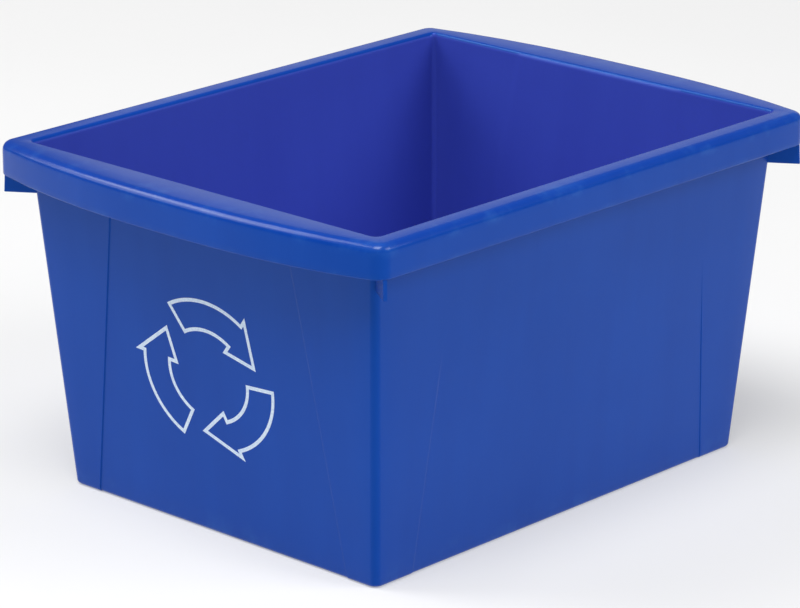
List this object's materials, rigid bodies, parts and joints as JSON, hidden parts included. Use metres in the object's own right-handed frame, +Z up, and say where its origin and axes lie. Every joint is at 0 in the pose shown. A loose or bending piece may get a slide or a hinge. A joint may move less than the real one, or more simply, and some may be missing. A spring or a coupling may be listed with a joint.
{
  "type": "recycling bin",
  "caption": "Open-topped rectangular recycling bin with tapered walls, a turned-down rim bowed into end grips, and a printed arrow mark.",
  "frame": {"origin": "centre of the base, on the surface the bin stands on", "axes": "+X along the bin's length, from the end that carries the printed mark to the plain end; +Y across its width; +Z up"},
  "size_m": [0.427, 0.3274, 0.227],
  "materials": {
    "shell": "satin injection-moulded polypropylene, blue",
    "print": "white hot-stamped print"
  },
  "bodies": {
    "root": {"bin_shell": "shell", "print_arrow_1": "print", "print_arrow_2": "print", "print_arrow_3": "print"}
  },
  "joints": []
}
